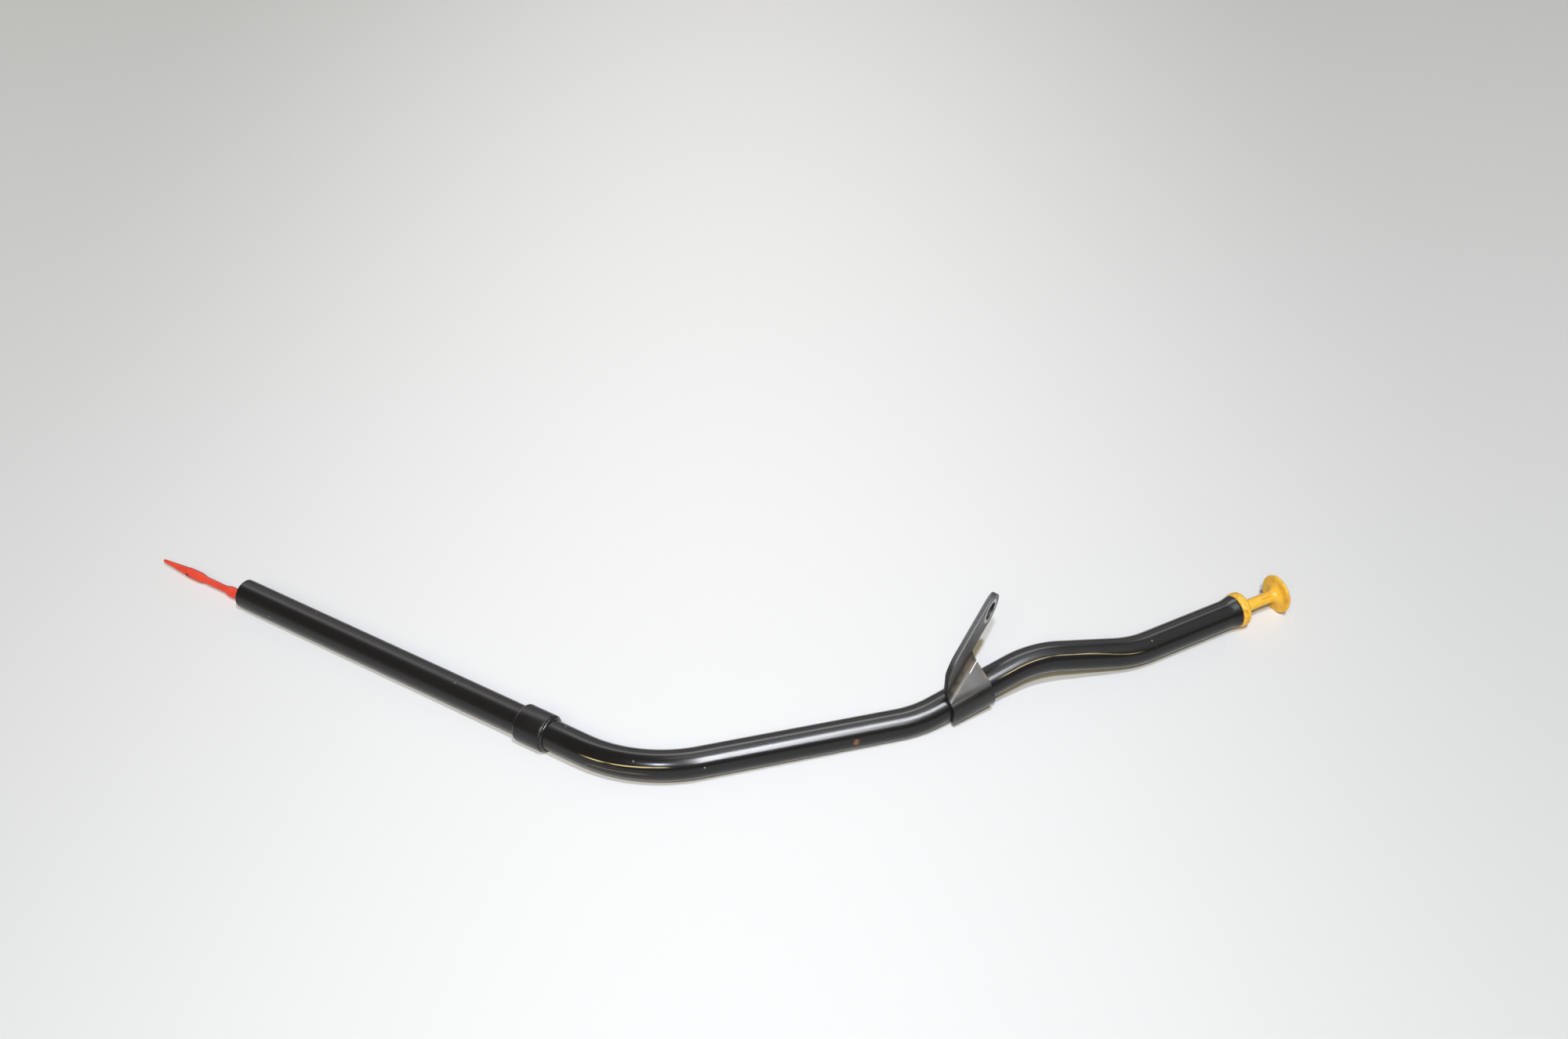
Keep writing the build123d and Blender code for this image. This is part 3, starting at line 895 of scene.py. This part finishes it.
spear = [
    (point_radius, point_radius),
    (0.0021, 0.0164),
    (blade_radius, 0.0180),
    (blade_radius, 0.0256),
    (neck_radius, 0.0287),
    (neck_radius, 0.0422),
    (shoulder_radius, 0.0458),
    (shoulder_radius, tip_length - shoulder_chamfer),
]
tip_profile = arc((0.0, point_radius), point_radius, -90.0, 0.0, 6)[:-1]
tip_profile += eased(spear, spear_round, 6)
tip_profile += [
    (shoulder_radius - shoulder_chamfer, tip_length),
    (socket_radius, tip_length),
    (socket_radius, tip_length - socket_depth),
    (0.0, tip_length - socket_depth),
]
tip = turned("tip_spear", tip_profile, tip_point, lower_direction, 48)
drill_profile = [
    (0.0, -drill_half),
    (level_hole_radius, -drill_half),
    (level_hole_radius, drill_half),
    (0.0, drill_half),
]
level_middle = tip_point + lower_direction * level_hole_reach
drill = turned("level_drill", drill_profile, level_middle, lower_front, 20)
bored = tip.modifiers.new("level_hole", "BOOLEAN")
bored.object = drill
bored.solver = "EXACT"
settled(tip)
bpy.data.objects.remove(drill)
tip.data.materials.clear()
tip.data.materials.append(nylon.material)
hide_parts("measuring_tip")
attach(tip, "tip")

# Dipstick cable
# A flexible cable of six bright steel strands, moulded into the tip at one end and the handle at the other.
# It lies low in the bore as far as the first bend. It is made in two lengths.
mouth_direction = (mouth - fourth_bend).normalized()
cable_radius = 0.0015
plug_length = 0.017
plug_socket = 0.008
tip_drop = tip_point + lower_direction * (lower_end - tip_point).dot(lower_direction) - lower_end
tip_socket = tip_point + lower_direction * (tip_length - socket_depth)
handle_socket = mouth - mouth_direction * plug_socket
cable_middle = (first_bend + tip_drop).lerp(second_bend, 0.5)
pull = 0.060
worn_wire = (0.46, 0.455, 0.44)
bright_wire = (0.60, 0.595, 0.58)
groove_dark = (0.070, 0.060, 0.048)

strand = Finish("cable_steel")
spot = strand.place()
wear = strand.wear(spot, Smear_scale=200.0, Grain_scale=2600.0)
groove = strand.attribute("groove", "Fac")
clean = strand.mix(wear["Smears"], worn_wire, bright_wire)
# The grooves between the strands are painted darker.
strand.set(Base_Color=strand.mix(strand.step(groove, 0.45, 1.0), clean, groove_dark))
strand.set(Metallic=1.0)
strand.set(Roughness=strand.sum("MULTIPLY_ADD", wear["Smears"], 0.12, 0.26))
strand.bump(wear["Grain"], distance=0.00004, strength=0.3)

cable_section = {
    "Bend_radius": bend_radius,
    "Skin_radius": cable_radius,
    "Strands": 6,
    "Strand_depth": 0.14,
    "Strand_turns": 55.0,
    "Sides": 36,
    "Caps": True,
}
lower_cable = skin_along(
    "lower_cable",
    (tip_socket, first_bend + tip_drop, cable_middle),
    strand.material,
    Ring_step=0.0010,
    **cable_section,
)
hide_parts("dipstick_cable")
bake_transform(lower_cable)

upper_cable = skin_along(
    "upper_cable",
    (cable_middle, second_bend, third_bend, fourth_bend, handle_socket),
    strand.material,
    Ring_step=0.0006,
    Draw_start=0.041,
    Draw_end=0.009,
    Draw=pull,
    **cable_section,
)
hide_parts("dipstick_cable")
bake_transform(upper_cable)

# Pull handle
# One yellow nylon moulding: a plug with a groove for its seal, a stop flange on the tube's rim, a stem and a
# mushroom head for two fingers. Oily fingers have browned the stem by the head and the head's rim.
plug_radius = 0.0057
plug_lead = 0.0012
groove_radius = 0.0041
groove_low = -0.00795
groove_high = -0.00605
flange_radius = 0.0084
flange_thickness = 0.0048
flange_round = 0.0016
stem_radius = 0.00285
stem_root = 0.0010
head_radius = 0.0095
head_reach = 0.0264
head_rim = 0.0008
head_flare = 0.0039
head_dome = 0.0020
deep_yellow = (0.74, 0.400, 0.033)
pale_yellow = (0.81, 0.475, 0.045)
finger_brown = (0.42, 0.15, 0.010)
chip_brown = (0.16, 0.085, 0.020)

amber = Finish("yellow_plastic")
spot = amber.place()
reach = amber.reach(spot, mouth, mouth_direction)
wear = amber.wear(spot, Smear_scale=130.0, Chip_scale=700.0, Chip_share=0.006, Grain_scale=2600.0)
rubs = amber.noise(spot, 420.0, detail=5.0, roughness=0.65)
yellow = amber.mix(wear["Smears"], deep_yellow, pale_yellow)
sideways = amber.reach(spot, mouth, mouth_direction.cross(Vector((0.0, 0.0, 1.0))))
lengthways = amber.join(amber.sum("MULTIPLY", reach, 0.12), sideways, amber.split(spot)["Z"])
drawn_marks = amber.noise(lengthways, 900.0, detail=3.0)
grip = amber.both(amber.band(reach, 0.0175, 0.0035, 0.0030), amber.step(drawn_marks, 0.54, 0.68))
head_edge = amber.both(amber.band(reach, head_reach, 0.0006, 0.0005), amber.step(rubs, 0.46, 0.62), 0.7)
flange_edge = amber.both(amber.band(reach, 0.0012, 0.0010, 0.0010), amber.step(rubs, 0.50, 0.64))
grime = amber.sum("MAXIMUM", grip, amber.sum("MAXIMUM", head_edge, flange_edge))
browned = amber.mix(amber.both(grime, 0.65), yellow, finger_brown)
amber.set(Base_Color=amber.mix(amber.both(wear["Chips"], 0.7), browned, chip_brown))
amber.set(Specular_IOR_Level=0.3)
amber.set(Roughness=amber.sum("MULTIPLY_ADD", wear["Smears"], 0.14, 0.34))
amber.bump(amber.sum("MULTIPLY_ADD", rubs, 0.5, wear["Grain"]), distance=0.00006, strength=0.3)

head_under = head_reach - head_rim
head_top = head_reach + head_rim
rim_centre = head_radius - head_rim
dome_radius = (rim_centre**2 + head_dome**2) / (2 * head_dome)
dome_angle = math.degrees(math.asin(rim_centre / dome_radius))
handle_profile = [
    (0.0, -plug_socket),
    (socket_radius, -plug_socket),
    (socket_radius, -plug_length),
    (plug_radius - plug_lead, -plug_length),
    (plug_radius, plug_lead - plug_length),
    (plug_radius, groove_low),
    (groove_radius, groove_low),
    (groove_radius, groove_high),
    (plug_radius, groove_high),
    (plug_radius, 0.0),
    *arc((flange_radius - flange_round, flange_round), flange_round, -90.0, 0.0, 8),
    *arc((flange_radius - flange_round, flange_thickness - flange_round), flange_round, 0.0, 90.0, 8),
    *arc((stem_radius + stem_root, flange_thickness + stem_root), stem_root, 270.0, 180.0, 6),
    *arc((stem_radius + head_flare, head_under - head_flare), head_flare, 180.0, 90.0, 12),
    *arc((rim_centre, head_reach), head_rim, -90.0, 90.0, 10),
    *arc((0.0, head_top + head_dome - dome_radius), dome_radius, 90.0 - dome_angle, 90.0, 10)[1:-1],
    (0.0, head_top + head_dome),
]
handle = turned("handle_moulding", handle_profile, mouth, mouth_direction, 96)
handle.data.materials.append(amber.material)
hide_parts("handle")
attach(handle, "handle")

# Seal ring
# A black nitrile O-ring, moulded round and stretched into the plug's groove. Its grip on the bore holds the
# dipstick in the tube.
seal_radius = 0.00505
seal_section = 0.0009
seal_reach = (groove_low + groove_high) / 2
rubber_black = (0.012, 0.012, 0.012)
rubber_smear = (0.026, 0.025, 0.024)

rubber = Finish("seal_rubber")
spot = rubber.place()
wear = rubber.wear(spot, Smear_scale=300.0, Grain_scale=2600.0)
rubber.set(Base_Color=rubber.mix(wear["Smears"], rubber_black, rubber_smear))
rubber.set(Roughness=rubber.sum("MULTIPLY_ADD", wear["Grain"], 0.2, 0.42))
rubber.bump(wear["Grain"], distance=0.00004, strength=0.3)
seal_profile = arc((seal_radius, seal_reach), seal_section, 0.0, 342.0, 19)
seal = turned("seal_o_ring", seal_profile, mouth, mouth_direction, 96, ring=True)
seal.data.materials.append(rubber.material)
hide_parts("seal_ring")
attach(seal, "handle")
